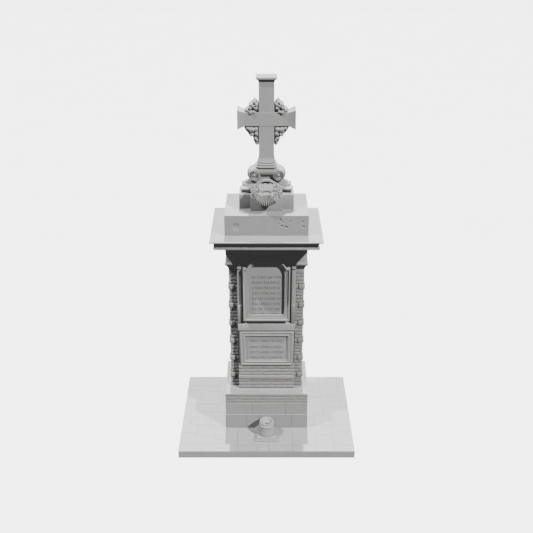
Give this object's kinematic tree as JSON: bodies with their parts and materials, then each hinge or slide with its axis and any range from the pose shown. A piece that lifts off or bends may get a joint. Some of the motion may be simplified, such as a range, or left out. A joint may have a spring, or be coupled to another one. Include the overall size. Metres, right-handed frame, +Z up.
{
  "type": "war memorial",
  "caption": "War memorial in stone and brick: paved platform, plinth, brick shaft with framed tablets, deep cornice, pedestal with garland, and a cross on a volute capital, with a vase in front.",
  "frame": {"origin": "centre of the underside of the paved platform", "axes": "+Z up; -Y is the front, where the vase stands; +X to the right as seen from the front"},
  "size_m": [3, 2.177, 6.2178],
  "materials": {
    "limestone": "dressed limestone, weathered, pale neutral grey",
    "pale_limestone": "fine carved limestone, pale neutral grey",
    "marble": "honed marble with shallow cut rows, pale neutral grey",
    "brick": "rough brickwork with weathered joints, pale neutral grey",
    "mortar": "smoothed bed of lime mortar, pale neutral grey"
  },
  "bodies": {
    "root": {"attic_block": "limestone", "bay_foot": "brick", "cornice": "limestone", "cross": "pale_limestone", "frieze": "limestone", "garland": "pale_limestone", "lower_die": "limestone", "lower_frame_back": "limestone", "lower_frame_front": "limestone", "lower_tablet_back": "marble", "lower_tablet_front": "marble", "paving_platform": "limestone", "pedestal_die": "pale_limestone", "pedestal_hood": "pale_limestone", "pier_capital_left": "limestone", "pier_capital_right": "limestone", "pier_left": "brick", "pier_right": "brick", "plinth_bed": "mortar", "plinth_brick_courses": "brick", "plinth_lower_back_1": "limestone", "plinth_lower_back_2": "limestone", "plinth_lower_back_3": "limestone", "plinth_lower_back_4": "limestone", "plinth_lower_back_5": "limestone", "plinth_lower_front_1": "limestone", "plinth_lower_front_2": "limestone", "plinth_lower_front_3": "limestone", "plinth_lower_front_4": "limestone", "plinth_lower_front_5": "limestone", "plinth_upper_back_1": "limestone", "plinth_upper_back_2": "limestone", "plinth_upper_back_3": "limestone", "plinth_upper_front_1": "limestone", "plinth_upper_front_2": "limestone", "plinth_upper_front_3": "limestone", "sill_band": "limestone", "upper_die": "limestone", "upper_frame_back": "limestone", "upper_frame_front": "limestone", "upper_tablet_back": "marble", "upper_tablet_front": "marble", "vase": "limestone", "vase_plate_lower": "limestone", "vase_plate_upper": "limestone", "volute_capital": "pale_limestone"}
  },
  "joints": []
}
